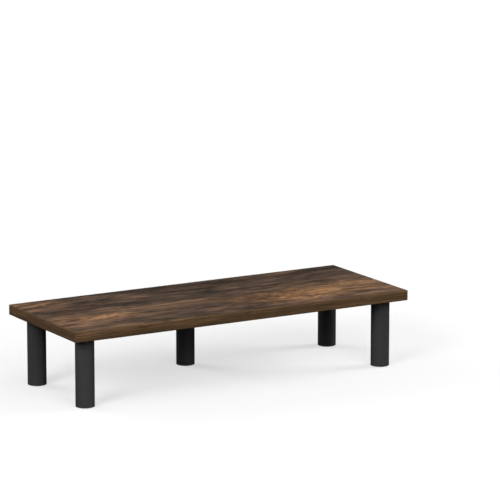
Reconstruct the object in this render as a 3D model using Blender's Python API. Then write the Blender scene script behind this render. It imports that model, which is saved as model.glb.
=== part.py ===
"""Monitor riser stand: a wood-look board on five round legs that screw into its underside.

Metres, +Z up. The origin is on the desk under the middle of the board, +X runs along the board
and +Y points to its back edge. Every leg's parts hang on an empty on that leg's own screw axis.
"""

import math

import bmesh
import bpy
from mathutils import Matrix

MM = 0.001

# Driving dimensions
BOARD_LENGTH = 600 * MM
BOARD_DEPTH = 228 * MM
BOARD_THICKNESS = 17 * MM
STAND_HEIGHT = 127 * MM
LEG_RADIUS = 15 * MM
LEG_INSET = 32 * MM  # from each board edge to a leg's axis
GAP = 0.3 * MM  # kept between neighbouring pieces

# Board layers and edges
LAMINATE_THICKNESS = 0.5 * MM
BAND_THICKNESS = 2 * MM
BAND_ARRIS = 1.2 * MM
ARRIS_SEGMENTS = 3

# M8 hardware, with the thread left plain
BOLT_RADIUS = 3.6 * MM  # the thread's pitch radius
BOLT_LENGTH = 30 * MM  # under the head
BOLT_TIP_CHAMFER = 1 * MM
BOLT_ENGAGEMENT = 12.8 * MM  # bolt length inside the board
HEAD_ACROSS_FLATS = 13 * MM
HEAD_HEIGHT = 5.3 * MM
THREAD_RADIUS = 4 * MM  # the thread's outer radius
INSERT_LENGTH = 13.3 * MM
INSERT_RADIUS = 5.5 * MM
INSERT_BARB = 0.7 * MM
INSERT_BARBS = 3
INSERT_FLANGE_RADIUS = 8 * MM
INSERT_FLANGE = 1.2 * MM

# Leg pieces
TUBE_WALL = 1.5 * MM
EDGE_CHAMFER = 0.5 * MM
WASHER_THICKNESS = 0.8 * MM
WASHER_RADIUS = 14.5 * MM
WASHER_BORE = 4.6 * MM
PLUG_FLANGE = 2.5 * MM
PLUG_LENGTH = 20 * MM  # of the part pressed into the tube
PLUG_BORE = 4.4 * MM
CAP_FLANGE = 3 * MM
CAP_SLEEVE = 16 * MM
CAP_WALL = 2 * MM
CAP_FLOOR = 2.2 * MM
CAP_BARB = 0.5 * MM
CAP_BARBS = 2
PAD_THICKNESS = 2 * MM
PAD_RADIUS = 12 * MM
PAD_PROUD = 0.8 * MM  # how far the pad stands out below its cap

# Facets round a turned piece: a multiple of 12, so that a hexagon's corners fall on them
VISIBLE_SIDES = 24
HIDDEN_SIDES = 12
SHARP_ANGLE = math.radians(40)

# Heights above the desk, and places, that follow from the sizes above
UNDERSIDE = STAND_HEIGHT - BOARD_THICKNESS
CORE_BOTTOM = UNDERSIDE + LAMINATE_THICKNESS + GAP
CORE_TOP = STAND_HEIGHT - LAMINATE_THICKNESS - GAP
CORE_LENGTH = BOARD_LENGTH - 2 * (BAND_THICKNESS + GAP)
CORE_DEPTH = BOARD_DEPTH - 2 * (BAND_THICKNESS + GAP)
TUBE_BORE = LEG_RADIUS - TUBE_WALL
WASHER_TOP = UNDERSIDE - GAP
WASHER_BOTTOM = WASHER_TOP - WASHER_THICKNESS
PLUG_TOP = WASHER_BOTTOM - GAP
PLUG_SHOULDER = PLUG_TOP - PLUG_FLANGE
PLUG_BOTTOM = PLUG_SHOULDER - PLUG_LENGTH
TUBE_TOP = PLUG_SHOULDER - GAP
CAP_SHOULDER = PAD_PROUD + CAP_FLANGE
TUBE_BOTTOM = CAP_SHOULDER + GAP
PAD_SEAT = PAD_THICKNESS + GAP
BOLT_TIP = UNDERSIDE + BOLT_ENGAGEMENT
HEAD_TOP = BOLT_TIP - BOLT_LENGTH
LEG_X = BOARD_LENGTH / 2 - LEG_INSET
LEG_Y = BOARD_DEPTH / 2 - LEG_INSET
LEG_PLACES = {
    "front_left": (-LEG_X, -LEG_Y),
    "front_right": (LEG_X, -LEG_Y),
    "back_left": (-LEG_X, LEG_Y),
    "back_right": (LEG_X, LEG_Y),
    "back_middle": (0, LEG_Y),
}


def clear_scene():
    for obj in list(bpy.data.objects):
        bpy.data.objects.remove(obj)


def linear(level):
    """One 0 to 255 screen colour level as the linear value that a shader takes."""
    share = level / 255
    return share / 12.92 if share <= 0.04045 else ((share + 0.055) / 1.055) ** 2.4


def finish(name, screen_colour, roughness, metallic=0.0):
    """A Principled material of one colour, given as it looks on a screen."""
    material = bpy.data.materials.new(name)
    material.use_nodes = True
    shader = material.node_tree.nodes["Principled BSDF"]
    shader.inputs["Base Color"].default_value = (*map(linear, screen_colour), 1)
    shader.inputs["Roughness"].default_value = roughness
    shader.inputs["Metallic"].default_value = metallic
    return material


def mesh_of(name, shape, material):
    """Closes a bmesh into a mesh with outward faces, smooth where it is round."""
    bmesh.ops.recalc_face_normals(shape, faces=shape.faces)
    mesh = bpy.data.meshes.new(name)
    shape.to_mesh(mesh)
    shape.free()
    mesh.shade_smooth()
    mesh.set_sharp_from_angle(angle=SHARP_ANGLE)
    mesh.materials.append(material)
    return mesh


def place(name, mesh, parent, location=(0, 0, 0)):
    obj = bpy.data.objects.new(name, mesh)
    bpy.context.scene.collection.objects.link(obj)
    obj.parent = parent
    obj.location = location
    return obj


def axis_empty(name, location):
    empty = place(name, None, None, location)
    empty.empty_display_size = LEG_RADIUS
    return empty


def round_outline(radius):
    return lambda angle: radius


def hexagon_outline(across_flats):
    """Distance from the axis to a hexagon's side, for any angle."""
    sixth = math.pi / 3

    def distance(angle):
        from_flat = (angle + sixth / 2) % sixth - sixth / 2
        return across_flats / 2 / math.cos(from_flat)

    return distance


def add_turned(shape, profile, sides, hollow, centre=(0, 0)):
    """Adds a solid round an upright axis.

    The profile lists (radius or outline, height) points: round the whole section of a hollow piece, or up the
    outside of a solid one, whose two ends are then capped.
    """
    rings = []
    for outline, height in profile:
        distance = outline if callable(outline) else round_outline(outline)
        ring = []
        for side in range(sides):
            angle = 2 * math.pi * side / sides
            x = centre[0] + distance(angle) * math.cos(angle)
            y = centre[1] + distance(angle) * math.sin(angle)
            ring.append(shape.verts.new((x, y, height)))
        rings.append(ring)
    following = rings[1:] + rings[:1] if hollow else rings[1:]
    for low, high in zip(rings, following):
        for side in range(sides):
            after = (side + 1) % sides
            shape.faces.new((low[side], low[after], high[after], high[side]))
    if not hollow:
        shape.faces.new(rings[0])
        shape.faces.new(rings[-1])


def turned(profile, sides, hollow=True):
    shape = bmesh.new()
    add_turned(shape, profile, sides, hollow)
    return shape


def block(length, depth, height):
    """A box standing on the plane of its own origin."""
    shape = bmesh.new()
    size = Matrix.Diagonal((length, depth, height, 1))
    bmesh.ops.create_cube(shape, size=1, matrix=Matrix.Translation((0, 0, height / 2)) @ size)
    return shape


def barbs(root, crest, start, end, count):
    """Saw-tooth rings up a sleeve: each has a flat ledge below and runs out to the sleeve above."""
    pitch = (end - start) / count
    points = []
    for index in range(count):
        ledge = start + index * pitch
        points += [(root, ledge), (crest, ledge)]
    return points + [(root, end)]


def edge_band_mesh(name, length, rounded_ends, material):
    """A strip of edging along X with its outer side at -Y, its outer arrises rounded over."""
    shape = block(length, BAND_THICKNESS, BOARD_THICKNESS)
    outer = -BAND_THICKNESS / 2
    arrises = []
    for edge in shape.edges:
        first, second = (vert.co for vert in edge.verts)
        on_outer_side = first.y < outer / 2 and second.y < outer / 2
        upright = abs(first.z - second.z) > BOARD_THICKNESS / 2
        if on_outer_side and (rounded_ends or not upright):
            arrises.append(edge)
    bmesh.ops.bevel(
        shape,
        geom=arrises,
        offset=BAND_ARRIS,
        segments=ARRIS_SEGMENTS,
        profile=0.5,
        affect="EDGES",
    )
    return mesh_of(name, shape, material)


def insert_hole_cutter(board):
    """The five stepped blind holes in the underside that the threaded inserts are let into."""
    flange_seat = UNDERSIDE + INSERT_FLANGE + GAP
    hole_radius = INSERT_RADIUS + INSERT_BARB + GAP
    below_board = UNDERSIDE - BOARD_THICKNESS
    profile = [
        (INSERT_FLANGE_RADIUS + GAP, below_board),
        (INSERT_FLANGE_RADIUS + GAP, flange_seat),
        (hole_radius, flange_seat),
        (hole_radius, UNDERSIDE + INSERT_LENGTH + GAP),
    ]
    holes = bmesh.new()
    for centre in LEG_PLACES.values():
        add_turned(holes, profile, HIDDEN_SIDES, False, centre)
    cutter = place("insert_hole_cutter", mesh_of("insert_hole_cutter", holes, None), board)
    cutter.hide_render = True
    cutter.display_type = "WIRE"
    return cutter


def cut(obj, cutter):
    drilling = obj.modifiers.new("insert_holes", "BOOLEAN")
    drilling.operation = "DIFFERENCE"
    drilling.solver = "EXACT"
    drilling.object = cutter


def build_board(board):
    chipboard = finish("chipboard", (176, 146, 108), 0.9)
    wood_print = finish("wood_print", (107, 80, 64), 0.5)
    backing_print = finish("backing_print", (92, 70, 56), 0.6)
    band_print = finish("band_print", (92, 72, 48), 0.5)
    cutter = insert_hole_cutter(board)

    core_shape = block(CORE_LENGTH, CORE_DEPTH, CORE_TOP - CORE_BOTTOM)
    core = place("board_core", mesh_of("board_core", core_shape, chipboard), board, (0, 0, CORE_BOTTOM))
    cut(core, cutter)

    sheet_shape = block(CORE_LENGTH, CORE_DEPTH, LAMINATE_THICKNESS)
    sheet = mesh_of("top_laminate", sheet_shape, wood_print)
    place("top_laminate", sheet, board, (0, 0, CORE_TOP + GAP))

    backing_shape = block(CORE_LENGTH, CORE_DEPTH, LAMINATE_THICKNESS)
    backing = mesh_of("bottom_laminate", backing_shape, backing_print)
    cut(place("bottom_laminate", backing, board, (0, 0, UNDERSIDE)), cutter)

    # The long bands run the whole length, and the end bands butt in between them.
    long_band = edge_band_mesh("long_band", BOARD_LENGTH, True, band_print)
    end_band = edge_band_mesh("end_band", CORE_DEPTH, False, band_print)
    to_front = BOARD_DEPTH / 2 - BAND_THICKNESS / 2
    to_end = BOARD_LENGTH / 2 - BAND_THICKNESS / 2
    band_places = {
        "front": (long_band, (0, -to_front, UNDERSIDE), 0),
        "right": (end_band, (to_end, 0, UNDERSIDE), math.pi / 2),
        "back": (long_band, (0, to_front, UNDERSIDE), math.pi),
        "left": (end_band, (-to_end, 0, UNDERSIDE), -math.pi / 2),
    }
    for side, (mesh, location, turn) in band_places.items():
        band = place("edge_band_" + side, mesh, board, location)
        band.rotation_euler.z = turn


def insert_nut_shape():
    flange_top = UNDERSIDE + INSERT_FLANGE
    first_barb = flange_top + INSERT_FLANGE
    top = UNDERSIDE + INSERT_LENGTH
    profile = [
        (THREAD_RADIUS, UNDERSIDE),
        (INSERT_FLANGE_RADIUS, UNDERSIDE),
        (INSERT_FLANGE_RADIUS, flange_top),
        (INSERT_RADIUS, flange_top),
    ]
    profile += barbs(INSERT_RADIUS, INSERT_RADIUS + INSERT_BARB, first_barb, top, INSERT_BARBS)
    profile.append((THREAD_RADIUS, top))
    return turned(profile, HIDDEN_SIDES)


def washer_shape():
    profile = [
        (WASHER_BORE, WASHER_BOTTOM),
        (WASHER_RADIUS, WASHER_BOTTOM),
        (WASHER_RADIUS, WASHER_TOP),
        (WASHER_BORE, WASHER_TOP),
    ]
    return turned(profile, VISIBLE_SIDES)


def tube_shape():
    profile = [
        (TUBE_BORE, TUBE_BOTTOM),
        (LEG_RADIUS - EDGE_CHAMFER, TUBE_BOTTOM),
        (LEG_RADIUS, TUBE_BOTTOM + EDGE_CHAMFER),
        (LEG_RADIUS, TUBE_TOP - EDGE_CHAMFER),
        (LEG_RADIUS - EDGE_CHAMFER, TUBE_TOP),
        (TUBE_BORE, TUBE_TOP),
    ]
    return turned(profile, VISIBLE_SIDES)


def top_plug_shape():
    """The pressed-in plug, with a hexagon pocket below that keeps the bolt's head from turning."""
    pocket = hexagon_outline(HEAD_ACROSS_FLATS + 2 * GAP)
    pocket_roof = HEAD_TOP + GAP
    body = TUBE_BORE - GAP
    profile = [
        (pocket, PLUG_BOTTOM),
        (body - EDGE_CHAMFER, PLUG_BOTTOM),
        (body, PLUG_BOTTOM + EDGE_CHAMFER),
        (body, PLUG_SHOULDER),
        (LEG_RADIUS, PLUG_SHOULDER),
        (LEG_RADIUS, PLUG_TOP - EDGE_CHAMFER),
        (LEG_RADIUS - EDGE_CHAMFER, PLUG_TOP),
        (PLUG_BORE, PLUG_TOP),
        (PLUG_BORE, pocket_roof),
        (pocket, pocket_roof),
    ]
    return turned(profile, VISIBLE_SIDES)


def bolt_shape():
    head = hexagon_outline(HEAD_ACROSS_FLATS)
    profile = [
        (head, HEAD_TOP - HEAD_HEIGHT),
        (head, HEAD_TOP),
        (BOLT_RADIUS, HEAD_TOP),
        (BOLT_RADIUS, BOLT_TIP - BOLT_TIP_CHAMFER),
        (BOLT_RADIUS - BOLT_TIP_CHAMFER, BOLT_TIP),
    ]
    return turned(profile, HIDDEN_SIDES, hollow=False)


def foot_cap_shape():
    """The pressed-in end cap: a barbed cup with a seat for the pad in its underside."""
    seat = PAD_RADIUS + GAP
    crest = TUBE_BORE - GAP
    root = crest - CAP_BARB
    sleeve_top = CAP_SHOULDER + CAP_SLEEVE
    profile = [
        (seat, PAD_SEAT),
        (seat, PAD_PROUD),
        (LEG_RADIUS - EDGE_CHAMFER, PAD_PROUD),
        (LEG_RADIUS, PAD_PROUD + EDGE_CHAMFER),
        (LEG_RADIUS, CAP_SHOULDER),
        (root, CAP_SHOULDER),
    ]
    profile += barbs(root, crest, CAP_SHOULDER + CAP_SLEEVE / 2, sleeve_top, CAP_BARBS)
    profile += [(root - CAP_WALL, sleeve_top), (root - CAP_WALL, PAD_SEAT + CAP_FLOOR)]
    return turned(profile, VISIBLE_SIDES, hollow=False)


def pad_shape():
    profile = [
        (PAD_RADIUS, 0),
        (PAD_RADIUS, PAD_THICKNESS - EDGE_CHAMFER),
        (PAD_RADIUS - EDGE_CHAMFER, PAD_THICKNESS),
    ]
    return turned(profile, VISIBLE_SIDES, hollow=False)


def build_legs(board):
    """Five like legs, each on its own screw axis. The inserts stay in the board."""
    steel = finish("zinc_plated_steel", (186, 186, 180), 0.35, 1.0)
    powder_coat = finish("black_powder_coat", (53, 53, 53), 0.5)
    moulded = finish("black_moulding", (52, 52, 52), 0.58)
    rubber = finish("black_rubber", (32, 32, 31), 0.85)
    insert = mesh_of("insert_nut", insert_nut_shape(), steel)
    leg_meshes = {
        "leg_washer": mesh_of("leg_washer", washer_shape(), moulded),
        "leg_tube": mesh_of("leg_tube", tube_shape(), powder_coat),
        "leg_top_plug": mesh_of("leg_top_plug", top_plug_shape(), moulded),
        "leg_bolt": mesh_of("leg_bolt", bolt_shape(), steel),
        "leg_foot_cap": mesh_of("leg_foot_cap", foot_cap_shape(), moulded),
        "foot_pad": mesh_of("foot_pad", pad_shape(), rubber),
    }
    for where, (x, y) in LEG_PLACES.items():
        place("insert_nut_" + where, insert, board, (x, y, 0))
        screw_axis = axis_empty("screw_axis_" + where, (x, y, 0))
        for piece, mesh in leg_meshes.items():
            place(piece + "_" + where, mesh, screw_axis)


def main():
    clear_scene()
    board = axis_empty("board", (0, 0, 0))
    build_board(board)
    build_legs(board)


main()
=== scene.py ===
"""Looks of the monitor riser stand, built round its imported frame.

Every piece but the board's core is remade here with rounded edges, real threads and a procedural finish.
The stand is shown in a plain white studio, from the front left. Metres, +Z up, in the frame's own axes.
"""

import math

import bmesh
import bpy
from mathutils import Euler, Matrix, Vector, noise


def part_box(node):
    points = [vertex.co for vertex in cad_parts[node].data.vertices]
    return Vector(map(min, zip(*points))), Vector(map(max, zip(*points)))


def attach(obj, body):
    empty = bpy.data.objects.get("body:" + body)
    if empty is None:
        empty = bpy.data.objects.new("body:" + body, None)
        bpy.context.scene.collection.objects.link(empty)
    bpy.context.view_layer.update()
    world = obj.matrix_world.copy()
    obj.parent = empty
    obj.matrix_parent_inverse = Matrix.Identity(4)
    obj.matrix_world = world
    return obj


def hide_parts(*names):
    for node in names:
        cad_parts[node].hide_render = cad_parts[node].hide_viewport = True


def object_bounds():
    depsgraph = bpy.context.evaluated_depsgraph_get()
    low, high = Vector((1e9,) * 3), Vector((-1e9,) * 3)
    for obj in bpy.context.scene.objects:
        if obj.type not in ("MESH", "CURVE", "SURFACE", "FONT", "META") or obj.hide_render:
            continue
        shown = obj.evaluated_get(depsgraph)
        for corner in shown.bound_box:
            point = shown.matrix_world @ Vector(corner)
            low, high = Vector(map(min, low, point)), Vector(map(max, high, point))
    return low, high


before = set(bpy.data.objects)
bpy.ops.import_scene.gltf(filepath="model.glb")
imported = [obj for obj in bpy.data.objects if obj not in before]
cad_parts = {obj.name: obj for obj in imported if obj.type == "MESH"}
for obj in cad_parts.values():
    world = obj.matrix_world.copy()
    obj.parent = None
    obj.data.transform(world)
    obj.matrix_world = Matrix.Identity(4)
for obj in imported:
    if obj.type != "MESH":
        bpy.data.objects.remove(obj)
cad_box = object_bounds()

MM = 0.001
LEGS = ("front_left", "front_right", "back_left", "back_right", "back_middle")

# Gaps between neighbours: what the frame keeps, and the fine line left of it here
FRAME_GAP = 0.3 * MM
JOINT_LINE = 0.05 * MM
# Points nearer than this are one point
WELD = 0.002 * MM

# Facets
LEG_SIDES = 96
HARDWARE_SIDES = 48
FILLET_STEPS = 5
ARRIS_STEPS = 7
SHARP_ANGLE = math.radians(38)

# Edge bands: the rounding along their outer edges, and of the board's upright corners
BAND_ARRIS = 1.8 * MM
BAND_CORNER = 0.6 * MM

# Embossing of the top sheet: its depth, and the mesh and the waves a metre along and across the grain
EMBOSS_DEPTH = 0.05 * MM
EMBOSS_STEP = (5 * MM, 1.5 * MM)
EMBOSS_WAVES = (7, 170)

# M8 thread. Its form is in shares of a pitch, and of the depth from root to crest.
PITCH = 1.25 * MM
THREAD_CREST = 3.9 * MM
THREAD_ROOT = 3.22 * MM
THREAD_CLEARANCE = 0.12 * MM
THREAD_FORM = ((0.1, 0), (0.42, 1), (0.58, 1), (0.9, 0))

# Insert
SLEEVE_RADIUS = 5.5 * MM
SLEEVE_BARB = 0.7 * MM
SLEEVE_BARBS = 3
FLANGE_THICKNESS = 1.2 * MM
COUNTERBORE = 0.5 * MM

# Bolt. The bevel of its head goes from the hexagon to a round face.
HEAD_ACROSS_FLATS = 13 * MM
HEAD_HEIGHT = 5.3 * MM
HEAD_BEVEL = 0.6 * MM
HEAD_BEVEL_MIDDLE = HEAD_ACROSS_FLATS - 0.5 * MM  # across flats, half way along the bevel
HEAD_FACE_RADIUS = HEAD_ACROSS_FLATS / 2 - 0.4 * MM
NECK_RADIUS = 3.5 * MM
NECK_LENGTH = 2 * MM
THREAD_RUNOUT = 0.8 * MM
TIP_BASE_RADIUS = THREAD_ROOT - 0.1 * MM
TIP_RADIUS = THREAD_ROOT - 0.5 * MM

# Leg pieces
TUBE_WALL = 1.5 * MM
WASHER_BORE = 4.6 * MM
PLUG_BORE = 4.4 * MM
CAP_BARB = 0.5 * MM
CAP_BARBS = 2
CAP_WALL = 2 * MM
CAP_FLOOR = 2.2 * MM
GROOVE_STARTS = (4 * MM, 7.5 * MM)  # inner radii of the pad's grooves
GROOVE_WIDTH = 1.5 * MM
GROOVE_DEPTH = 0.4 * MM
AXIS_FLAT = 0.5 * MM  # radius of the flat that closes a turned solid

# Fillets of the turned pieces, finest first
BORE_FILLET = 0.1 * MM
GROOVE_FILLET = 0.15 * MM
INNER_FILLET = 0.2 * MM
MEETING_FILLET = 0.25 * MM  # where a leg's pieces meet
RIM_FILLET = 0.3 * MM
FLANGE_FILLET = 0.4 * MM
TOP_FILLET = 0.5 * MM
FOOT_FILLET = 0.6 * MM
LEAD_FILLET = 0.8 * MM  # where a piece is pressed in, and inside the cap's cup

# Camera, from the edges of the board and the legs in the photograph
CAMERA_PLACE = (-2.59815, -4.58714, 1.29453)
CAMERA_YAW = math.radians(30.214)
CAMERA_PITCH = math.radians(11.694)
LENS_MM = 244.44

# Studio dome: its brightness by height, and the share of its height that the change at the horizon takes
SKY_BELOW = 0.04
SKY_HORIZON = 0.15
SKY_ZENITH = 0.22
HORIZON_BLUR = 0.02

# Floor: its grey and gloss, its own glow near the stand and past the reach, and the cove that ends it
FLOOR_GREY = 0.36
FLOOR_SPECULAR = 0.1
FLOOR_GLOW = (0.54, 1.0)
FLOOR_GLOW_REACH = 3.0
COVE_START = 7.0
COVE_BEND = 3.0
COVE_STEPS = 12
COVE_HEIGHT = 12.0

# Softboxes: azimuth from the front and elevation in degrees, distance and width in metres, and watts
SOFTBOXES = {
    "softbox_left": (-62, 28, 3.0, 1.2, 64),
    "softbox_right": (80, 28, 3.0, 1.2, 58),
    "softbox_front": (-4, 27, 3.0, 1.8, 57),
    "softbox_back": (-150, 26, 3.0, 1.6, 44),
}


# Sizes read from the frame

def span(node):
    """Lowest and highest point of a frame node."""
    low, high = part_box(node)
    return low.z, high.z


def radius_of(node):
    """Radius of a round frame node."""
    low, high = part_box(node)
    return (high.x - low.x) / 2


def leg_axis(where):
    """X and Y of a leg's upright axis."""
    low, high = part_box("leg_tube_" + where)
    return (low.x + high.x) / 2, (low.y + high.y) / 2


BOARD_LOW, BOARD_HIGH = cad_box
CORE_LOW, CORE_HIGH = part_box("board_core")
UNDERSIDE, BOARD_TOP = span("edge_band_front")
BAND_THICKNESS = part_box("edge_band_front")[1].y - BOARD_LOW.y
TUBE_LOW, TUBE_HIGH = span("leg_tube_front_left")
PLUG_LOW, PLUG_HIGH = span("leg_top_plug_front_left")
BOLT_LOW, BOLT_HIGH = span("leg_bolt_front_left")
CAP_LOW, CAP_HIGH = span("leg_foot_cap_front_left")
PAD_LOW, PAD_HIGH = span("foot_pad_front_left")
INSERT_LOW, INSERT_HIGH = span("insert_nut_front_left")
LEG_RADIUS = radius_of("leg_tube_front_left")
WASHER_RADIUS = radius_of("leg_washer_front_left")
PAD_RADIUS = radius_of("foot_pad_front_left")
FLANGE_RADIUS = radius_of("insert_nut_front_left")

# Outer radius of what is pressed into a tube, and the heights of the shoulders that the tube ends against
PRESSED_RADIUS = LEG_RADIUS - TUBE_WALL - FRAME_GAP
PLUG_SHOULDER = TUBE_HIGH + FRAME_GAP
CAP_SHOULDER = TUBE_LOW - FRAME_GAP


# Meshes

def mesh_of(name, shape):
    """Turns a bmesh into a mesh with no doubled points and its faces outward, smooth where it is round."""
    bmesh.ops.remove_doubles(shape, verts=shape.verts, dist=WELD)
    bmesh.ops.recalc_face_normals(shape, faces=shape.faces)
    mesh = bpy.data.meshes.new(name)
    shape.to_mesh(mesh)
    shape.free()
    mesh.shade_smooth()
    mesh.set_sharp_from_angle(angle=SHARP_ANGLE)
    return mesh


def filleted(points):
    """A closed outline of (across, up, radius) points, with an arc at every corner that has a radius."""
    outline = []
    for index, (across, up, radius) in enumerate(points):
        corner = Vector((across, up))
        if not radius:
            outline.append(corner)
            continue
        into = (Vector(points[index - 1][:2]) - corner).normalized()
        out = (Vector(points[(index + 1) % len(points)][:2]) - corner).normalized()
        half_angle = into.angle(out) / 2
        centre = corner + (into + out).normalized() * radius / math.sin(half_angle)
        start = (corner + into * radius / math.tan(half_angle) - centre).normalized()
        end = (corner + out * radius / math.tan(half_angle) - centre).normalized()
        for step in range(FILLET_STEPS + 1):
            outline.append(centre + start.slerp(end, step / FILLET_STEPS) * radius)
    return outline


def hexagon(across_flats):
    """Distance from the axis to a hexagon's side, for any angle."""
    sixth = math.pi / 3

    def distance(angle):
        from_flat = (angle + sixth / 2) % sixth - sixth / 2
        return across_flats / 2 / math.cos(from_flat)

    return distance


def add_ring(shape, radius, height, sides):
    """One ring of points round the Z axis. The radius is a number or, for a hexagon, a rule."""
    ring = []
    for side in range(sides):
        angle = 2 * math.pi * side / sides
        distance = radius(angle) if callable(radius) else radius
        ring.append(shape.verts.new((distance * math.cos(angle), distance * math.sin(angle), height)))
    return ring


def join_rings(shape, low, high):
    """Joins two rings of as many points with four-sided faces."""
    for side, vert in enumerate(low):
        after = (side + 1) % len(low)
        shape.faces.new((vert, low[after], high[after], high[side]))


def add_turned(shape, outline, sides, closed):
    """Turns an outline of (radius, height) points round the Z axis. Returns its rings."""
    rings = [add_ring(shape, radius, height, sides) for radius, height in outline]
    for low, high in zip(rings, rings[1:]):
        join_rings(shape, low, high)
    if closed:
        join_rings(shape, rings[-1], rings[0])
    return rings


def turned_ring(name, points, sides):
    """A hollow turned piece from the corners of its section."""
    shape = bmesh.new()
    add_turned(shape, filleted(points), sides, True)
    return mesh_of(name, shape)


def turned_solid(name, points, sides):
    """A solid turned piece from the corners of its outside, which start and end near the axis."""
    shape = bmesh.new()
    rings = add_turned(shape, filleted(points), sides, False)
    shape.faces.new(rings[0])
    shape.faces.new(rings[-1])
    return mesh_of(name, shape)


def barbs(root, crest, start, end, count):
    """Saw-tooth rings up a sleeve: each has a flat ledge below and runs out to the sleeve above."""
    pitch = (end - start) / count
    points = []
    for index in range(count):
        ledge = start + index * pitch
        points += [(root, ledge, 0), (crest, ledge, 0)]
    return points + [(root, end, 0)]


def turn_of(vert):
    """A point's angle round the Z axis."""
    return math.atan2(vert.co.y, vert.co.x)


def zip_rings(shape, one, other):
    """Joins two rings of points round the Z axis with triangles, whatever their counts."""
    one = sorted(one, key=turn_of)
    other = sorted(other, key=turn_of)
    one_turns = [turn_of(vert) for vert in one[1:]] + [turn_of(one[0]) + 2 * math.pi]
    other_turns = [turn_of(vert) for vert in other[1:]] + [turn_of(other[0]) + 2 * math.pi]
    one_at = other_at = 0
    while one_at < len(one) or other_at < len(other):
        here = one[one_at % len(one)]
        there = other[other_at % len(other)]
        other_done = other_at == len(other)
        if other_done or (one_at < len(one) and one_turns[one_at] < other_turns[other_at]):
            one_at += 1
            shape.faces.new((here, one[one_at % len(one)], there))
        else:
            other_at += 1
            shape.faces.new((here, other[other_at % len(other)], there))


def add_thread(shape, root, crest, low, high):
    """An open wall with a right-hand thread, cut level at both ends. Returns the points of each end.

    The turns are counted from height 0, so that a bolt's thread and its insert's mesh.
    """
    # The columns start ever higher, by a turn in all, so two spare turns stand below the cut.
    first_turn = math.floor(low / PITCH) - 2
    last_turn = math.ceil(high / PITCH)
    columns = []
    for side in range(HARDWARE_SIDES):
        share = side / HARDWARE_SIDES
        angle = 2 * math.pi * share
        column = []
        for turn in range(first_turn, last_turn + 1):
            for rise, depth in THREAD_FORM:
                radius = root + (crest - root) * depth
                height = (turn + rise + share) * PITCH
                column.append(shape.verts.new((radius * math.cos(angle), radius * math.sin(angle), height)))
        columns.append(column)
    # Past the last column the rows go on one turn higher up the first.
    columns.append(columns[0][len(THREAD_FORM):])
    for column, following in zip(columns, columns[1:]):
        for row in range(min(len(column), len(following)) - 1):
            shape.faces.new((column[row], following[row], following[row + 1], column[row + 1]))
    for height, outwards in ((low, -1), (high, 1)):
        everything = shape.verts[:] + shape.edges[:] + shape.faces[:]
        bmesh.ops.bisect_plane(
            shape,
            geom=everything,
            dist=WELD,
            plane_co=(0, 0, height),
            plane_no=(0, 0, outwards),
            clear_outer=True,
        )
    return [[vert for vert in shape.verts if abs(vert.co.z - height) < WELD] for height in (low, high)]


# Finishes

# The levels that most of a noise lies between
NOISE_RANGE = (0.3, 0.7)
# Specular level of prints and coats that have almost no gloss
MATT = 0.04


def linear(level):
    """A colour level of 0 to 255 as the linear value that a shader takes, by the sRGB curve."""
    share = level / 255
    return share / 12.92 if share <= 0.04045 else ((share + 0.055) / 1.055) ** 2.4


def colour(levels):
    """An opaque shader colour from its red, green and blue levels."""
    return (*map(linear, levels), 1)


class Nodes:
    """Short ways to add shader nodes to one tree and to join them."""

    def __init__(self, tree):
        self.tree = tree

    def add(self, kind, inputs=None, **settings):
        """A new node, with its settings made and its inputs fed."""
        node = self.tree.nodes.new("ShaderNode" + kind)
        for setting, value in settings.items():
            setattr(node, setting, value)
        for socket, value in (inputs or {}).items():
            self.feed(node.inputs[socket], value)
        return node

    def feed(self, socket, value):
        """Links a socket to another, or sets it to a constant."""
        if isinstance(value, bpy.types.NodeSocket):
            self.tree.links.new(value, socket)
        else:
            socket.default_value = value

    def math(self, operation, *values):
        node = self.add("Math", operation=operation)
        for socket, value in zip(node.inputs, values):
            self.feed(socket, value)
        return node.outputs["Value"]

    def vector_math(self, operation, first, second):
        return self.add("VectorMath", {0: first, 1: second}, operation=operation).outputs[0]

    def spread(self, value, low, high, to_low, to_high):
        """The value moved from one range to another, and kept inside it."""
        inputs = {"Value": value, "From Min": low, "From Max": high, "To Min": to_low, "To Max": to_high}
        return self.add("MapRange", inputs).outputs["Result"]


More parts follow.
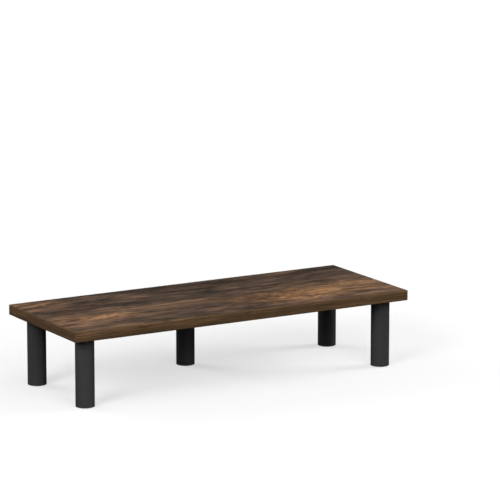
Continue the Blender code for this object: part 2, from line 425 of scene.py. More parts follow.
class Finish(Nodes):
    """A procedural material: a Principled shader and the nodes that feed it."""

    def __init__(self, name, **constants):
        self.material = bpy.data.materials.new(name)
        self.material.use_nodes = True
        super().__init__(self.material.node_tree)
        self.shader = self.tree.nodes["Principled BSDF"]
        for socket, value in constants.items():
            self.give(socket.replace("_", " "), value)

    def give(self, socket, value):
        self.feed(self.shader.inputs[socket], value)

    def give_roughness(self, noise_level, at_low, at_high):
        """Roughness that goes from one value to another over the range of a noise."""
        self.give("Roughness", self.spread(noise_level, *NOISE_RANGE, at_low, at_high))

    def give_bump(self, height, depth, strength=1.0):
        """Fine relief of a height from 0 to 1 times the depth."""
        node = self.add("Bump", {"Height": height, "Distance": depth, "Strength": strength})
        self.give("Normal", node.outputs["Normal"])

    def place(self):
        return self.add("TexCoord").outputs["Object"]

    def noise(self, place, waves, detail, roughness=0.5, distortion=0.0, shift=0.0, output="Fac"):
        """Noise with that many waves a metre: one number, or one for each axis."""
        scale = waves if isinstance(waves, tuple) else (waves, waves, waves)
        moved = self.add("Mapping", {"Vector": place, "Location": (shift, shift, shift), "Scale": scale})
        inputs = {
            "Vector": moved.outputs["Vector"],
            "Scale": 1.0,
            "Detail": detail,
            "Roughness": roughness,
            "Distortion": distortion,
        }
        return self.add("TexNoise", inputs).outputs[output]

    def patch(self, place, centre, reach):
        """1 at the centre of a soft oval, falling to 0 at its rim."""
        inputs = {"Vector": place, "Location": centre, "Scale": reach}
        moved = self.add("Mapping", inputs, vector_type="TEXTURE").outputs["Vector"]
        slope = self.add("TexGradient", {"Vector": moved}, gradient_type="SPHERICAL").outputs["Fac"]
        return self.add("MapRange", {"Value": slope}, interpolation_type="SMOOTHSTEP").outputs["Result"]

    def weighted(self, base, parts):
        """The base plus each part's weight times how far its value is from a half."""
        total = base - sum(weight for _, weight in parts) / 2
        for value, weight in parts:
            total = self.math("MULTIPLY_ADD", value, weight, total)
        return total

    def ramp(self, tone, stops):
        """Colours by tone. The first and last stops end the ramp, and can lie outside 0 to 1."""
        first, last = stops[0][0], stops[-1][0]
        node = self.add("ValToRGB", {"Fac": self.spread(tone, first, last, 0, 1)})
        elements = node.color_ramp.elements
        while len(elements) < len(stops):
            elements.new(0.5)
        for element, (position, levels) in zip(elements, stops):
            element.position = (position - first) / (last - first)
            element.color = colour(levels)
        return node.outputs["Color"]

    def mix(self, share, first, second):
        """A blend of two colours."""
        # A Mix node has sockets of the same names for every data type, so those for colours go by number.
        node = self.add("Mix", {0: share, 6: first, 7: second}, data_type="RGBA")
        return node.outputs[2]


# Tones of the printed wood, from dark to light
TOP_TONES = (
    (-0.3, (24, 20, 18)),
    (0.0, (40, 33, 29)),
    (0.25, (59, 49, 42)),
    (0.5, (81, 65, 54)),
    (0.75, (109, 85, 68)),
    (1.0, (136, 107, 85)),
    (1.4, (162, 131, 104)),
)
RUST_TONES = (
    (-0.3, (24, 18, 14)),
    (0.0, (40, 30, 23)),
    (0.25, (62, 47, 35)),
    (0.5, (88, 65, 46)),
    (0.75, (119, 86, 58)),
    (1.0, (148, 109, 74)),
    (1.4, (176, 134, 94)),
)
BAND_TONES = (
    (-0.2, (30, 22, 14)),
    (0.4, (75, 57, 39)),
    (0.65, (92, 70, 49)),
    (1.2, (145, 115, 83)),
)
BACKING_TONES = (
    (-0.2, (36, 28, 22)),
    (0.5, (72, 55, 42)),
    (1.2, (118, 91, 68)),
)
# The tone where every noise is at a half and nothing darkens it
MIDDLE_TONE = 0.55

# Waves a metre along and across the grain, for the broad bands, the streaks and the lines
FIGURED_GRAIN = ((4, 17), (15, 60), (11, 300))
STRAIGHT_GRAIN = ((2.2, 22), (9, 85), (14, 330))
# The same for the rest of a print
WANDER_WAVES = (3, 7)
FIBRE_WAVES = (40, 1100)
DASH_WAVES = (38, 620)
PORE_WAVES = (110, 2200)
HILL_WAVES = (1.2, 9)
CLEARNESS_WAVES = (5, 20)
CURL_WAVES = (48, 70)
CLOUD_WAVES = (6, 16)

# What bands, streaks, lines and fibres add to the tone, and how far dashes and pores darken it
GRAIN_WEIGHTS = (1.2, 1.5, 1.3, 0.8)
DASH_DEPTH = 0.26
PORE_DEPTH = 0.22
# The levels of a noise between which a dash or a pore comes in
DASH_LEVELS = (0.6, 0.68)
PORE_LEVELS = (0.62, 0.72)

# Growth rings: how sharply each ends, their least clearness, and the noise levels that it grows between
RING_SHARPNESS = 3
RING_CLEARNESS = 0.1
CLEARNESS_LEVELS = (0.35, 0.65)

# Curly figure: its share away from the curly patches, and its depth
CURL_SHARE = 0.2
CURL_DEPTH = 1.2
# Rust comes in between these levels of the curly share plus clouds of this weight
RUST_LEVELS = (0.8, 1.9)
RUST_CLOUDS = 1.4

# Soft ovals of lighter or darker tone on the top: centre and reach in millimetres, and the change of tone.
# Some are print and some are painted shadow and light. The dark ovals across the back half paint the shadow
# of a monitor that is not built here. The dark oval in the front middle is partly painted shadow of its
# foot. The light oval at the back-left corner paints the light past that shadow's edge.
TOP_PRINT_AND_SHADOW_PATCHES = (
    ((-290, 84), (95, 80), 0.30),
    ((40, 112), (500, 36), -0.10),
    ((-185, 56), (190, 66), -0.30),
    ((180, 66), (270, 62), -0.12),
    ((10, 60), (120, 70), -0.10),
    ((-265, -44), (150, 60), 0.36),
    ((-60, -70), (190, 50), -0.20),
    ((145, -58), (130, 52), 0.34),
    ((285, -34), (120, 60), 0.34),
    ((200, -100), (230, 46), 0.16),
)
# Where the print is curly and rusty: the same, with the share of curl
CURLY_PATCHES = (
    ((110, -50), (190, 76), 1.0),
    ((250, -30), (140, 60), 0.3),
    ((-225, -44), (150, 40), 0.7),
    ((-292, 84), (75, 65), 0.6),
)
# Where the growth rings close into eyes: the same, with the number of rings
EYE_PATCHES = (
    ((95, -66), (80, 30), 6),
    ((262, -26), (85, 30), 6),
    ((-262, -42), (90, 30), 5),
    ((10, 48), (80, 30), 6),
)
# The dark heart of an eye: its size as a share of the eye's, and its change of tone
HEART_SHARE = 1 / 6
HEART_TONE = -0.35


def sum_of_patches(finish, place, patches, base):
    """The base plus the weight of each patch, as far as its oval reaches."""
    total = base
    for (x, y), (reach_x, reach_y), weight in patches:
        oval = finish.patch(place, (x * MM, y * MM, BOARD_TOP), (reach_x * MM, reach_y * MM, 1))
        total = finish.math("MULTIPLY_ADD", oval, weight, total)
    return total


def grained(finish, place, waves, **settings):
    """Noise drawn out along X, from its waves a metre along and across the grain."""
    along, across = waves
    return finish.noise(place, (along, across, across), **settings)


def bent_place(finish, place, sway, shift):
    """The place pushed about by slow waves, so that grain laid along X wanders along and across itself."""
    along, across = sway
    wander = grained(finish, place, WANDER_WAVES, detail=1, shift=shift, output="Color")
    centred = finish.vector_math("SUBTRACT", wander, (0.5, 0.5, 0.5))
    swing = finish.vector_math("MULTIPLY", centred, (along, across, across))
    return finish.vector_math("ADD", place, swing)


def ring_lines(finish, place, per_metre, arches, eyes, shift):
    """Growth rings from 0 to 1: each darkens slowly and ends sharply.

    Slow hills, as many rings high as the arches, close the rings into arches.
    """
    axes = finish.add("SeparateXYZ", {"Vector": place}).outputs
    across = finish.math("ADD", axes["Y"], axes["Z"])
    level = sum_of_patches(finish, place, eyes, finish.math("MULTIPLY", across, per_metre))
    hills = grained(finish, place, HILL_WAVES, detail=2, roughness=0.4, shift=shift + 2)
    rings = finish.math("MULTIPLY_ADD", hills, arches, level)
    ring = finish.math("POWER", finish.math("FRACT", rings), RING_SHARPNESS)
    clearness = grained(finish, place, CLEARNESS_WAVES, detail=2, shift=shift + 4)
    return finish.math("MULTIPLY", ring, finish.spread(clearness, *CLEARNESS_LEVELS, RING_CLEARNESS, 1))


def marks(finish, place, waves, levels, shift):
    """Short strokes along the grain, from 0 to 1."""
    return finish.spread(grained(finish, place, waves, detail=1, shift=shift), *levels, 0, 1)


def curly_shade(finish, place, tone, tones, curly, curly_tones, shift):
    """Colours by tone, curly and rusty in the curly patches and in clouds round them."""
    curls = grained(finish, place, CURL_WAVES, detail=3, roughness=0.55, distortion=1.2, shift=shift)
    share = sum_of_patches(finish, place, curly, CURL_SHARE)
    curled = finish.math("MULTIPLY", finish.math("SUBTRACT", curls, 0.5), share)
    tone = finish.math("MULTIPLY_ADD", curled, CURL_DEPTH, tone)
    clouds = grained(finish, place, CLOUD_WAVES, detail=2, shift=shift + 1)
    rust = finish.spread(finish.math("MULTIPLY_ADD", clouds, RUST_CLOUDS, share), *RUST_LEVELS, 0, 1)
    return finish.mix(rust, finish.ramp(tone, tones), finish.ramp(tone, curly_tones))


def wood(
    name,
    tones,
    grain,
    sway,
    rings,
    contrast=1.0,
    painted_shade_fall=0.0,
    shift=0.0,
    patches=(),
    eyes=(),
    curly=(),
    curly_tones=None,
):
    """Printed wood with its grain along X: broad bands, streaks, lines, fibres, growth rings and pores.

    The sway is how far the grain wanders along and across itself, in metres. The rings are a metre's count
    across the grain, the count from hill to valley, and their depth. From the board's top to its underside
    the tone goes down by the fall, a painted shade that makes the lower part darker. The shift takes every
    noise from another place.
    """
    finish = Finish(name, Specular_IOR_Level=MATT)
    place = finish.place()
    bent = bent_place(finish, place, sway, shift)

    band_waves, streak_waves, line_waves = grain
    bands = grained(finish, bent, band_waves, detail=2, shift=shift)
    streaks = grained(finish, bent, streak_waves, detail=4, roughness=0.6, shift=shift)
    lines = grained(finish, bent, line_waves, detail=3, roughness=0.6, shift=shift)
    fibres = grained(finish, bent, FIBRE_WAVES, detail=3, roughness=0.6, shift=shift)
    dashes = marks(finish, bent, DASH_WAVES, DASH_LEVELS, shift)
    pores = marks(finish, place, PORE_WAVES, PORE_LEVELS, shift)
    per_metre, arches, ring_depth = rings
    ring = ring_lines(finish, bent, per_metre, arches, eyes, shift)

    weights = [weight * contrast for weight in GRAIN_WEIGHTS]
    tone = finish.weighted(MIDDLE_TONE, list(zip((bands, streaks, lines, fibres), weights)))
    for mark, depth in ((ring, ring_depth), (dashes, DASH_DEPTH), (pores, PORE_DEPTH)):
        tone = finish.math("MULTIPLY_ADD", mark, -depth, tone)
    # Painted shade: the tone goes down towards the underside, so the lower part is darker.
    if painted_shade_fall:
        height = finish.add("SeparateXYZ", {"Vector": place}).outputs["Z"]
        tone = finish.math("ADD", tone, finish.spread(height, UNDERSIDE, BOARD_TOP, -painted_shade_fall / 2, painted_shade_fall / 2))
    hearts = []
    for centre, (along, across), _ in eyes:
        hearts.append((centre, (along * HEART_SHARE, across * HEART_SHARE), HEART_TONE))
    # The patches and the eyes' dark hearts change the tone in soft ovals. On the top some patches are
    # painted shadow and painted light.
    tone = sum_of_patches(finish, bent, (*patches, *hearts), tone)

    if curly:
        shade = curly_shade(finish, bent, tone, tones, curly, curly_tones, shift)
    else:
        shade = finish.ramp(tone, tones)
    finish.give("Base Color", shade)
    finish.give_roughness(streaks, at_low=0.72, at_high=0.6)
    relief = finish.weighted(0.5, [(streaks, 0.4), (fibres, 0.5), (dashes, -0.5), (pores, -0.5)])
    finish.give_bump(relief, depth=0.12 * MM, strength=0.5)
    return finish.material


# Tones of the other finishes, from dark to light
CHIP_TONES = ((0, (112, 84, 54)), (0.5, (172, 140, 100)), (1, (212, 186, 146)))
COAT_TONES = ((0, (45, 45, 45)), (0.5, (53, 53, 53)), (1, (61, 61, 61)))
NYLON_TONES = ((0, (44, 44, 44)), (1, (61, 61, 61)))
RUBBER_TONES = ((0, (20, 20, 20)), (1, (44, 43, 42)))
ZINC_TONES = ((0, (150, 150, 146)), (0.5, (186, 187, 184)), (1, (208, 210, 212)))

# Their waves a metre: one number, or one for each axis
CHIP_WAVES = 450
CHIP_SHADE_WAVES = (300, 900, 900)
COAT_PEEL_WAVES = 900
COAT_GRAIN_WAVES = 4200
COAT_CLOUD_WAVES = (45, 45, 18)
NYLON_GRAIN_WAVES = 2600
NYLON_CLOUD_WAVES = 70
RUBBER_DUST_WAVES = 160
RUBBER_GRAIN_WAVES = 3000
ZINC_MOTTLE_WAVES = 500
ZINC_SCRATCH_WAVES = (2600, 2600, 160)


def chipboard():
    """Pressed wood chips of mixed tone."""
    finish = Finish("chipboard", Roughness=0.9)
    place = finish.place()
    chips = finish.add("TexVoronoi", {"Vector": place, "Scale": CHIP_WAVES, "Randomness": 1.0})
    each = finish.add("SeparateColor", {"Color": chips.outputs["Color"]}).outputs["Red"]
    shade = finish.noise(place, CHIP_SHADE_WAVES, detail=4)
    tone = finish.weighted(0.5, [(each, 0.7), (shade, 0.7)])
    relief = finish.weighted(0.5, [(chips.outputs["Distance"], 0.6), (shade, 0.5)])
    finish.give("Base Color", finish.ramp(tone, CHIP_TONES))
    finish.give_bump(relief, depth=0.3 * MM)
    return finish.material


def powder_coat():
    """Fine matt black powder coat with a faint orange peel."""
    finish = Finish("powder_coat", Specular_IOR_Level=MATT)
    place = finish.place()
    peel = finish.noise(place, COAT_PEEL_WAVES, detail=2)
    grain = finish.noise(place, COAT_GRAIN_WAVES, detail=2)
    cloud = finish.noise(place, COAT_CLOUD_WAVES, detail=3)
    tone = finish.weighted(0.5, [(cloud, 0.5), (grain, 0.6)])
    relief = finish.weighted(0.5, [(peel, 0.7), (grain, 0.5)])
    finish.give("Base Color", finish.ramp(tone, COAT_TONES))
    finish.give_roughness(cloud, at_low=0.46, at_high=0.56)
    finish.give_bump(relief, depth=0.05 * MM)
    return finish.material


def moulded():
    """Black moulded nylon with a fine spark-eroded texture."""
    finish = Finish("moulded_nylon", Specular_IOR_Level=MATT)
    place = finish.place()
    grain = finish.noise(place, NYLON_GRAIN_WAVES, detail=3)
    cloud = finish.noise(place, NYLON_CLOUD_WAVES, detail=2)
    tone = finish.weighted(0.5, [(cloud, 0.6), (grain, 0.4)])
    finish.give("Base Color", finish.ramp(tone, NYLON_TONES))
    finish.give_roughness(grain, at_low=0.5, at_high=0.64)
    finish.give_bump(grain, depth=0.04 * MM)
    return finish.material


def rubber():
    """Black rubber, dusty matt."""
    finish = Finish("foot_rubber", Specular_IOR_Level=0.25)
    place = finish.place()
    dust = finish.noise(place, RUBBER_DUST_WAVES, detail=4)
    grain = finish.noise(place, RUBBER_GRAIN_WAVES, detail=2)
    tone = finish.weighted(0.45, [(dust, 0.8), (grain, 0.3)])
    finish.give("Base Color", finish.ramp(tone, RUBBER_TONES))
    finish.give_roughness(dust, at_low=0.78, at_high=0.9)
    finish.give_bump(grain, depth=0.06 * MM)
    return finish.material


def zinc():
    """Bright zinc plating with a slightly mottled shine."""
    finish = Finish("zinc_plating", Metallic=1.0)
    place = finish.place()
    mottle = finish.noise(place, ZINC_MOTTLE_WAVES, detail=4)
    scratches = finish.noise(place, ZINC_SCRATCH_WAVES, detail=2)
    tone = finish.weighted(0.5, [(mottle, 0.8), (scratches, 0.3)])
    finish.give("Base Color", finish.ramp(tone, ZINC_TONES))
    finish.give_roughness(mottle, at_low=0.26, at_high=0.42)
    finish.give_bump(scratches, depth=0.01 * MM)
    return finish.material


# Pieces

def add_piece(name, mesh, material, body, node, place=Matrix.Identity(4)):
    """Puts a finished piece in the frame: it rides on a body and stands for one frame node."""
    mesh.materials.append(material)
    obj = bpy.data.objects.new(name, mesh)
    bpy.context.scene.collection.objects.link(obj)
    obj.matrix_world = place
    normals = obj.modifiers.new("weighted_normals", "WEIGHTED_NORMAL")
    normals.keep_sharp = True
    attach(obj, body)
    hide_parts(node)


def sheet_half_sizes():
    """Half the length and depth of the sheets, which nearly meet the bands."""
    half_length = BOARD_HIGH.x - BAND_THICKNESS - JOINT_LINE
    half_depth = BOARD_HIGH.y - BAND_THICKNESS - JOINT_LINE
    return half_length, half_depth


def lift(geometry, height):
    """Moves the points among some extruded geometry to one height."""
    for element in geometry:
        if isinstance(element, bmesh.types.BMVert):
            element.co.z = height


def top_sheet_mesh():
    """The top sheet, embossed with long shallow ripples along the grain."""
    half_length, half_depth = sheet_half_sizes()
    shape = bmesh.new()
    bmesh.ops.create_grid(
        shape,
        x_segments=round(2 * half_length / EMBOSS_STEP[0]),
        y_segments=round(2 * half_depth / EMBOSS_STEP[1]),
        size=1,
        matrix=Matrix.Diagonal((half_length, half_depth, 1, 1)),
    )
    for vert in shape.verts:
        wave = Vector((vert.co.x * EMBOSS_WAVES[0], vert.co.y * EMBOSS_WAVES[1], 0))
        ripple = noise.noise(wave) / 2 + 0.5
        vert.co.z = BOARD_TOP - EMBOSS_DEPTH * min(max(ripple, 0), 1)
    rim = [edge for edge in shape.edges if edge.is_boundary]
    lift(bmesh.ops.extrude_edge_only(shape, edges=rim)["geom"], CORE_HIGH.z + JOINT_LINE)
    open_edges = [edge for edge in shape.edges if edge.is_boundary]
    bmesh.ops.holes_fill(shape, edges=open_edges, sides=len(open_edges))
    return mesh_of("top_sheet", shape)


def bottom_sheet_mesh():
    """The balancing sheet under the core, with a round hole at each insert."""
    half_length, half_depth = sheet_half_sizes()
    hole_radius = FLANGE_RADIUS + FRAME_GAP / 2
    corners = ((-1, -1), (1, -1), (1, 1), (-1, 1))
    outlines = [[(x * half_length, y * half_depth) for x, y in corners]]
    for where in LEGS:
        x, y = leg_axis(where)
        turns = [2 * math.pi * side / HARDWARE_SIDES for side in range(HARDWARE_SIDES)]
        outlines.append([(x + hole_radius * math.cos(t), y + hole_radius * math.sin(t)) for t in turns])
    shape = bmesh.new()
    edges = []
    for outline in outlines:
        verts = [shape.verts.new((x, y, UNDERSIDE)) for x, y in outline]
        edges += [shape.edges.new((verts[index - 1], vert)) for index, vert in enumerate(verts)]
    bmesh.ops.triangle_fill(shape, edges=edges, use_beauty=True)
    lift(bmesh.ops.extrude_face_region(shape, geom=shape.faces[:])["geom"], CORE_LOW.z - JOINT_LINE)
    return mesh_of("bottom_sheet", shape)


def band_plan(half_length, rounded, inset):
    """The outline of a strip from above, its outer side at -Y drawn in by the inset.

    Where the strip makes the board's corners, its ends are drawn in too and its outer corners are round.
    """
    inner = BAND_THICKNESS / 2
    outer = inset - BAND_THICKNESS / 2
    if not rounded:
        return [(half_length, inner), (-half_length, inner), (-half_length, outer), (half_length, outer)]
    end = half_length - inset
    radius = BAND_CORNER * (1 - inset / BAND_THICKNESS)
    points = [(-end, inner)]
    for side, first in ((-1, math.pi), (1, 1.5 * math.pi)):
        for step in range(ARRIS_STEPS + 1):
            angle = first + math.pi / 2 * step / ARRIS_STEPS
            x = side * (end - radius) + radius * math.cos(angle)
            points.append((x, outer + radius + radius * math.sin(angle)))
    points.append((end, inner))
    return points


def band_mesh(name, half_length, rounded):
    """A strip of edging along X with rounded arrises, and round ends if it makes the board's corners."""
    arris = []
    for step in range(ARRIS_STEPS + 1):
        angle = math.pi / 2 * step / ARRIS_STEPS
        arris.append((BAND_ARRIS * (1 - math.sin(angle)), BAND_ARRIS * (1 - math.cos(angle))))
    levels = [(inset, UNDERSIDE + rise) for inset, rise in arris]
    levels += [(inset, BOARD_TOP - rise) for inset, rise in reversed(arris)]
    shape = bmesh.new()
    rings = []
    for inset, height in levels:
        plan = band_plan(half_length, rounded, inset)
        rings.append([shape.verts.new((x, y, height)) for x, y in plan])
    for low, high in zip(rings, rings[1:]):
        join_rings(shape, low, high)
    shape.faces.new(rings[0])
    shape.faces.new(rings[-1])
    return mesh_of(name, shape)


def build_sheets():
    """The top sheet with its figured print, and the plainer balancing sheet."""
    top_print = wood(
        "top_print",
        TOP_TONES,
        FIGURED_GRAIN,
        sway=(0.08, 0.035),
        rings=(130, 14, 0.42),
        patches=TOP_PRINT_AND_SHADOW_PATCHES,
        eyes=EYE_PATCHES,
        curly=CURLY_PATCHES,
        curly_tones=RUST_TONES,
    )
    backing_print = wood(
        "backing_print",
        BACKING_TONES,
        STRAIGHT_GRAIN,
        sway=(0.08, 0.04),
        rings=(110, 14, 0.2),
        contrast=0.6,
        shift=3.7,
    )
    top = top_sheet_mesh()
    bottom = bottom_sheet_mesh()
    add_piece("top_sheet", top, top_print, "board", "top_laminate")
    add_piece("bottom_sheet", bottom, backing_print, "board", "bottom_laminate")


def build_bands():
    """The long bands run the whole length, and the end bands butt in between them."""
    band_print = wood(
        "band_print",
        BAND_TONES,
        STRAIGHT_GRAIN,
        sway=(0.08, 0.006),
        rings=(260, 7, 0.35),
        contrast=0.6,
        # Painted shade: the band darker towards its lower edge.
        painted_shade_fall=0.24,
        shift=12.2,
    )
    half_length = BOARD_HIGH.x
    half_depth = sheet_half_sizes()[1]
    to_front = BOARD_HIGH.y - BAND_THICKNESS / 2
    to_end = BOARD_HIGH.x - BAND_THICKNESS / 2
    bands = {
        "front": (half_length, True, (0, -to_front, 0), 0),
        "right": (half_depth, False, (to_end, 0, 0), math.pi / 2),
        "back": (half_length, True, (0, to_front, 0), math.pi),
        "left": (half_depth, False, (-to_end, 0, 0), -math.pi / 2),
    }
    for side, (half, rounded, location, turn) in bands.items():
        mesh = band_mesh(side + "_edging", half, rounded)
        place = Matrix.Translation(location) @ Matrix.Rotation(turn, 4, "Z")
        add_piece(side + "_edging", mesh, band_print, "board", "edge_band_" + side, place)


def insert_mesh():
    """The flanged insert: barbed outside, threaded inside and counterbored at both ends."""
    crest = SLEEVE_RADIUS + SLEEVE_BARB
    flange_top = INSERT_LOW + FLANGE_THICKNESS
    first_barb = flange_top + FLANGE_THICKNESS
    thread_root = THREAD_ROOT + THREAD_CLEARANCE
    thread_crest = THREAD_CREST + THREAD_CLEARANCE
    mouth = thread_crest + THREAD_CLEARANCE
    thread_low = INSERT_LOW + COUNTERBORE
    thread_high = INSERT_HIGH - COUNTERBORE
    shape = bmesh.new()
    low_end, high_end = add_thread(shape, thread_root, thread_crest, thread_low, thread_high)
    points = [
        (mouth, thread_low, 0),
        (mouth, INSERT_LOW, 0),
        (FLANGE_RADIUS, INSERT_LOW, FLANGE_FILLET),
        (FLANGE_RADIUS, flange_top, RIM_FILLET),
        (SLEEVE_RADIUS, flange_top, 0),
    ]
    points += barbs(SLEEVE_RADIUS, crest, first_barb, INSERT_HIGH, SLEEVE_BARBS)
    points += [(mouth, INSERT_HIGH, 0), (mouth, thread_high, 0)]
    rings = add_turned(shape, filleted(points), HARDWARE_SIDES, False)
    zip_rings(shape, rings[0], low_end)
    zip_rings(shape, rings[-1], high_end)
    return mesh_of("insert", shape)


def bolt_mesh():
    """The captive hexagon bolt, threaded up to its narrow tip."""
    head_top = BOLT_LOW + HEAD_HEIGHT
    neck_top = head_top + NECK_LENGTH
    thread_high = BOLT_HIGH - THREAD_RUNOUT
    shape = bmesh.new()
    low_end, high_end = add_thread(shape, THREAD_ROOT, THREAD_CREST, neck_top + THREAD_RUNOUT, thread_high)
    head_outline = [
        (HEAD_FACE_RADIUS, BOLT_LOW),
        (hexagon(HEAD_BEVEL_MIDDLE), BOLT_LOW + HEAD_BEVEL / 2),
        (hexagon(HEAD_ACROSS_FLATS), BOLT_LOW + HEAD_BEVEL),
        (hexagon(HEAD_ACROSS_FLATS), head_top),
        (NECK_RADIUS, head_top),
        (NECK_RADIUS, neck_top),
    ]
    tip_outline = [(TIP_BASE_RADIUS, thread_high), (TIP_RADIUS, BOLT_HIGH)]
    head = add_turned(shape, head_outline, HARDWARE_SIDES, False)
    tip = add_turned(shape, tip_outline, HARDWARE_SIDES, False)
    shape.faces.new(head[0])
    shape.faces.new(tip[-1])
    zip_rings(shape, head[-1], low_end)
    zip_rings(shape, tip[0], high_end)
    return mesh_of("bolt", shape)


def washer_mesh():
    """The thin washer between the leg and the board."""
    low = PLUG_HIGH + JOINT_LINE
    high = UNDERSIDE - JOINT_LINE
    points = [
        (WASHER_BORE, low, BORE_FILLET),
        (WASHER_RADIUS, low, RIM_FILLET),
        (WASHER_RADIUS, high, RIM_FILLET),
        (WASHER_BORE, high, BORE_FILLET),
    ]
    return turned_ring("washer", points, LEG_SIDES)


def tube_mesh():
    """The leg's tube, drawn out until it nearly meets the plug and the cap."""
    bore = LEG_RADIUS - TUBE_WALL
    low = CAP_SHOULDER + JOINT_LINE
    high = PLUG_SHOULDER - JOINT_LINE
    points = [
        (bore, low, INNER_FILLET),
        (LEG_RADIUS, low, MEETING_FILLET),
        (LEG_RADIUS, high, MEETING_FILLET),
        (bore, high, INNER_FILLET),
    ]
    return turned_ring("tube", points, LEG_SIDES)


def plug_mesh():
    """The plug pressed into the tube, with a hexagon pocket for the bolt's head."""
    pocket = hexagon(HEAD_ACROSS_FLATS + 2 * FRAME_GAP)
    pocket_roof = BOLT_LOW + HEAD_HEIGHT + FRAME_GAP
    points = [
        (PLUG_BORE, PLUG_LOW, 0),
        (PRESSED_RADIUS, PLUG_LOW, LEAD_FILLET),
        (PRESSED_RADIUS, PLUG_SHOULDER, 0),
        (LEG_RADIUS, PLUG_SHOULDER, MEETING_FILLET),
        (LEG_RADIUS, PLUG_HIGH, TOP_FILLET),
        (PLUG_BORE, PLUG_HIGH, RIM_FILLET),
    ]
    # The first point gives way to the pocket's mouth, and the bore leads down to the pocket's roof.
    outline = [(pocket, PLUG_LOW), *filleted(points)[1:], (PLUG_BORE, pocket_roof), (pocket, pocket_roof)]
    shape = bmesh.new()
    add_turned(shape, outline, LEG_SIDES, True)
    return mesh_of("plug", shape)


def cap_mesh():
    """The press-in end cap: a flange under the tube, a barbed cup inside it and a seat for the pad."""
    seat = PAD_RADIUS + FRAME_GAP / 2
    seat_roof = PAD_HIGH + FRAME_GAP / 2
    root = PRESSED_RADIUS - CAP_BARB
    cup = root - CAP_WALL
    cup_floor = seat_roof + CAP_FLOOR
    first_barb = (CAP_SHOULDER + CAP_HIGH) / 2
    points = [
        (AXIS_FLAT, seat_roof, 0),
        (seat, seat_roof, 0),
        (seat, CAP_LOW, INNER_FILLET),
        (LEG_RADIUS, CAP_LOW, FOOT_FILLET),
        (LEG_RADIUS, CAP_SHOULDER, MEETING_FILLET),
        (root, CAP_SHOULDER, 0),
    ]
    points += barbs(root, PRESSED_RADIUS, first_barb, CAP_HIGH, CAP_BARBS)
    points += [(cup, CAP_HIGH, 0), (cup, cup_floor, LEAD_FILLET), (AXIS_FLAT, cup_floor, 0)]
    return turned_solid("cap", points, LEG_SIDES)


def pad_mesh():
    """The anti-slip pad, with round grooves in its underside."""
    groove_roof = PAD_LOW + GROOVE_DEPTH
    points = [(AXIS_FLAT, PAD_LOW, 0)]
    for start in GROOVE_STARTS:
        end = start + GROOVE_WIDTH
        points += [(start, PAD_LOW, GROOVE_FILLET), (start, groove_roof, 0)]
        points += [(end, groove_roof, 0), (end, PAD_LOW, GROOVE_FILLET)]
    points += [(PAD_RADIUS, PAD_LOW, RIM_FILLET), (PAD_RADIUS, PAD_HIGH, TOP_FILLET)]
    points.append((AXIS_FLAT, PAD_HIGH, 0))
    return turned_solid("pad", points, LEG_SIDES)


def build_legs():
    """Five like legs. The inserts stay in the board, and the rest ride on their own leg's bodies."""
    steel = zinc()
    coat = powder_coat()
    nylon = moulded()
    foot = rubber()
    kinds = (
        ("insert", insert_mesh(), steel, "board", "insert_nut", "plated_steel"),
        ("washer", washer_mesh(), nylon, "washer", "leg_washer", "moulding"),
        ("tube", tube_mesh(), coat, "leg", "leg_tube", "powder_coat"),
        ("plug", plug_mesh(), nylon, "leg", "leg_top_plug", "moulding"),
        ("bolt", bolt_mesh(), steel, "leg", "leg_bolt", "plated_steel"),
        ("cap", cap_mesh(), nylon, "leg", "leg_foot_cap", "moulding"),
        ("pad", pad_mesh(), foot, "leg", "foot_pad", "foot_rubber"),
    )
    for where in LEGS:
        place = Matrix.Translation((*leg_axis(where), 0))
        for kind, mesh, material, rides, node, slot in kinds:
            body = rides if rides == "board" else rides + "_" + where
            copy = mesh.copy()
            add_piece(kind + "_" + where, copy, material, body, node + "_" + where, place)


# Studio

def build_floor():
    """A pale floor that curves up into a wall. Its glow, weakest near the stand, keeps shadows light."""
    profile = [(COVE_START, 0)]
    for step in range(1, COVE_STEPS + 1):
        angle = math.pi / 2 * step / COVE_STEPS
        rise = COVE_BEND * (1 - math.cos(angle))
        profile.append((COVE_START + COVE_BEND * math.sin(angle), rise))
    profile.append((COVE_START + COVE_BEND, COVE_HEIGHT))
    shape = bmesh.new()
    rings = add_turned(shape, profile, LEG_SIDES, False)
    shape.faces.new(rings[0])
    floor = bpy.data.objects.new("floor", mesh_of("floor", shape))
    floor.location.z = -JOINT_LINE
    bpy.context.scene.collection.objects.link(floor)
    finish = Finish(
        "pale_floor",
        Base_Color=(FLOOR_GREY, FLOOR_GREY, FLOOR_GREY, 1),
        Roughness=0.9,
        Specular_IOR_Level=FLOOR_SPECULAR,
        Emission_Color=(1, 1, 1, 1),
    )
    near = finish.patch(finish.place(), (0, 0, 0), (FLOOR_GLOW_REACH, FLOOR_GLOW_REACH, 1))
    finish.give("Emission Strength", finish.spread(near, 1, 0, *FLOOR_GLOW))
    floor.data.materials.append(finish.material)
    # The floor is seen, and takes shadows, but sends no light on and stops none.
    floor.visible_diffuse = False
    floor.visible_glossy = False
    floor.visible_shadow = False


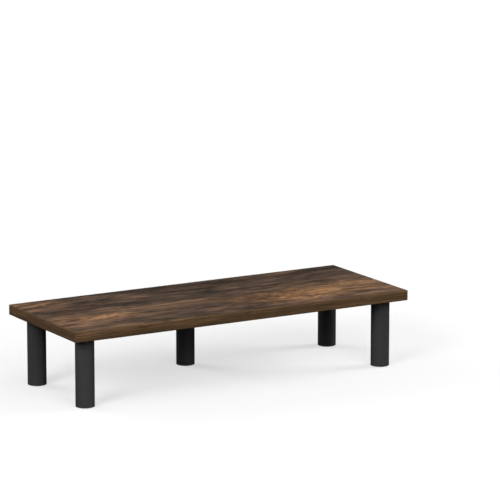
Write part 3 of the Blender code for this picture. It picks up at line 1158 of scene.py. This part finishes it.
def build_sky():
    """A dim white dome, brightest overhead and nearly dark below the horizon."""
    world = bpy.data.worlds.new("studio")
    world.use_nodes = True
    nodes = Nodes(world.node_tree)
    direction = nodes.add("TexCoord").outputs["Generated"]
    height = nodes.add("SeparateXYZ", {"Vector": direction}).outputs["Z"]
    rise = nodes.add("FloatCurve", {"Value": nodes.spread(height, -1, 1, 0, 1)})
    curve = rise.mapping.curves[0]
    curve.points.new((1 - HORIZON_BLUR) / 2, SKY_BELOW)
    curve.points.new((1 + HORIZON_BLUR) / 2, SKY_HORIZON)
    curve.points[0].location = (0, SKY_BELOW)
    curve.points[-1].location = (1, SKY_ZENITH)
    for point in curve.points:
        point.handle_type = "VECTOR"
    rise.mapping.update()
    background = world.node_tree.nodes["Background"]
    background.inputs["Color"].default_value = (1, 1, 1, 1)
    nodes.feed(background.inputs["Strength"], rise.outputs["Value"])
    bpy.context.scene.world = world


def build_softboxes():
    """Large square lamps round the stand, all turned to the middle of it."""
    middle = Vector((0, 0, UNDERSIDE / 2))
    for name, (azimuth, elevation, distance, width, watts) in SOFTBOXES.items():
        turn = Euler((math.radians(-elevation), 0, math.radians(azimuth)))
        away = Vector((0, -1, 0))
        away.rotate(turn)
        lamp = bpy.data.lights.new(name, "AREA")
        lamp.size = width
        lamp.energy = watts
        softbox = bpy.data.objects.new(name, lamp)
        softbox.location = middle + away * distance
        softbox.rotation_euler = (-away).to_track_quat("-Z", "Y").to_euler()
        bpy.context.scene.collection.objects.link(softbox)


def build_camera():
    """The photograph's view, with colours shown as they are set."""
    lens = bpy.data.cameras.new("camera")
    lens.lens = LENS_MM
    camera = bpy.data.objects.new("camera", lens)
    camera.location = CAMERA_PLACE
    camera.rotation_euler = (math.pi / 2 - CAMERA_PITCH, 0, -CAMERA_YAW)
    bpy.context.scene.collection.objects.link(camera)
    bpy.context.scene.camera = camera
    bpy.context.scene.view_settings.view_transform = "Standard"


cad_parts["board_core"].material_slots[0].material = chipboard()
build_sheets()
build_bands()
build_legs()
build_floor()
build_sky()
build_softboxes()
build_camera()
